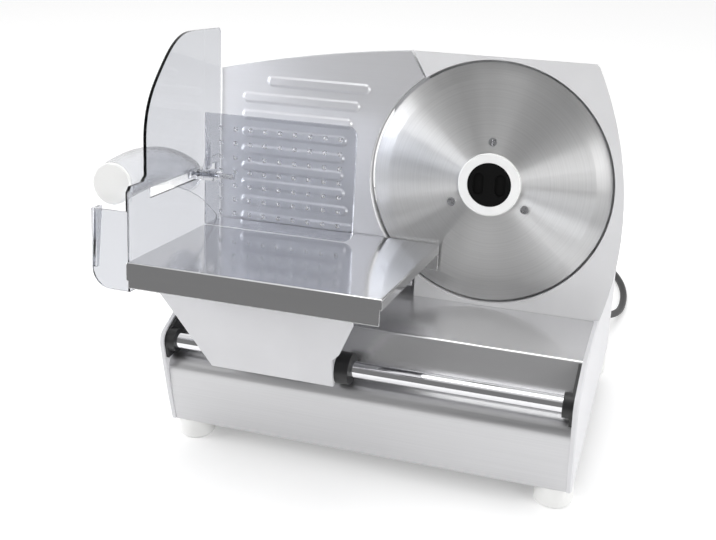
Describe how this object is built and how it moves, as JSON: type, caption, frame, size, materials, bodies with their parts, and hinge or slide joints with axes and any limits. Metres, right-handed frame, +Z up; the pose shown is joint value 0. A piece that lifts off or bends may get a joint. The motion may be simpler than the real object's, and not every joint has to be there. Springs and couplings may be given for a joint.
{
  "type": "electric food slicer",
  "caption": "Home electric food slicer with a round steel blade, a rail-mounted tray, a clear thumb guard and food pusher, and a silver base with a mains cord.",
  "frame": {"origin": "on the table, under the middle of the box of the machine without its cord", "axes": "+X along the rail to the user's right, +Y away from the user, +Z up"},
  "size_m": [0.3709, 0.5401, 0.3264],
  "materials": {
    "brushed_sheet": "satin brushed stainless sheet",
    "polished_sheet": "polished stainless sheet",
    "blade_steel": "radially brushed, ground edge",
    "silver_plastic": "silver-grey satin",
    "light_plastic": "light grey satin",
    "white_plastic": "smooth white",
    "clear_plastic": "clear",
    "black_plastic": "fine satin",
    "dark_plastic": "fine satin",
    "rail_chrome": "polished",
    "plain_steel": "turned",
    "bronze": "sintered",
    "copper": "enamelled winding",
    "laminated_iron": "stacked laminations",
    "cast_alloy": "cast",
    "foot_rubber": "pale, matt",
    "black_rubber": "satin"
  },
  "bodies": {
    "machine": {"left_end_cap": "light_plastic", "right_end_cap": "light_plastic", "front_panel": "brushed_sheet", "top_panel": "polished_sheet", "bottom_plate": "dark_plastic", "bottom_screws": "plain_steel", "slide_rail": "rail_chrome", "rail_socket_left": "black_plastic", "rail_socket_right": "black_plastic", "foot_front_left": "foot_rubber", "foot_front_right": "foot_rubber", "foot_rear_left": "foot_rubber", "foot_rear_right": "foot_rubber", "foot_screws": "plain_steel", "front_housing": "silver_plastic", "rear_cover": "silver_plastic", "housing_screws": "plain_steel", "blade_axle": "plain_steel", "worm_bush": "bronze", "guide_bushes": "bronze", "motor_stator": "laminated_iron", "field_coils": "copper", "motor_bracket_upper": "cast_alloy", "motor_bracket_lower": "cast_alloy", "brush_holders": "dark_plastic", "motor_bushes": "bronze", "motor_screws": "plain_steel", "motor_cradle": "dark_plastic", "switch_body": "black_plastic", "strain_relief": "black_rubber", "power_cord": "black_rubber", "cord_coil": "black_rubber", "plug_body": "black_rubber", "plug_pins": "bronze"},
    "gauge": {"gauge_plate": "silver_plastic", "gauge_bracket": "dark_plastic", "guide_rods": "plain_steel", "gauge_screws": "plain_steel"},
    "dial": {"thickness_knob": "black_plastic", "thickness_spindle": "plain_steel"},
    "blade_set": {"blade": "blade_steel", "blade_gear": "white_plastic", "blade_screws": "plain_steel"},
    "lock": {"blade_lock": "black_plastic"},
    "armature": {"armature_shaft": "plain_steel", "armature_core": "laminated_iron", "commutator": "copper", "cooling_fan": "dark_plastic"},
    "carriage": {"carriage_foot": "light_plastic", "carriage_bushes": "black_plastic", "glide_pads": "black_plastic", "food_tray": "polished_sheet", "tray_screws": "plain_steel", "thumb_guard": "clear_plastic", "guard_screws": "plain_steel"},
    "pusher": {"food_pusher": "clear_plastic", "pusher_handle": "clear_plastic", "handle_cap": "white_plastic", "pusher_pin": "plain_steel"},
    "rocker": {"switch_rocker": "black_plastic"}
  },
  "joints": [
    {"name": "armature_spin", "type": "hinge", "parent": "machine", "child": "armature", "pos_m": [0.12222, 0.04107, 0.20954], "axis": [0, 0.1478, 0.989], "continuous": true},
    {"name": "blade_spin", "type": "hinge", "parent": "machine", "child": "blade_set", "pos_m": [0.07972, 0.02327, 0.2122], "axis": [0, -0.989, 0.1478], "continuous": true},
    {"name": "lock_turn", "type": "hinge", "parent": "blade_set", "child": "lock", "pos_m": [0.07972, 0.02327, 0.2122], "axis": [0, -0.989, 0.1478], "range_deg": [0, 60]},
    {"name": "gauge_slide", "type": "slide", "parent": "machine", "child": "gauge", "axis": [0, 0.989, -0.1478], "range_m": [0, 0.015]},
    {"name": "dial_turn", "type": "hinge", "parent": "machine", "child": "dial", "pos_m": [-0.04228, 0.10598, 0.14322], "axis": [0, 0.989, -0.1478], "range_deg": [0, 300]},
    {"name": "carriage_slide", "type": "slide", "parent": "machine", "child": "carriage", "axis": [1, 0, 0], "range_m": [-0.028, 0.155]},
    {"name": "pusher_slide", "type": "slide", "parent": "carriage", "child": "pusher", "axis": [0, -0.989, 0.1478], "range_m": [-0.027, 0.073]},
    {"name": "switch_press", "type": "hinge", "parent": "machine", "child": "rocker", "pos_m": [0.10172, 0.11335, 0.22503], "axis": [1, 0, 0], "range_deg": [0, 18]}
  ],
  "couplings": [
    {"joint": "blade_spin", "follows": "armature_spin", "ratio": -0.033333},
    {"joint": "dial_turn", "follows": "gauge_slide", "rad_per_m": 349.07}
  ]
}
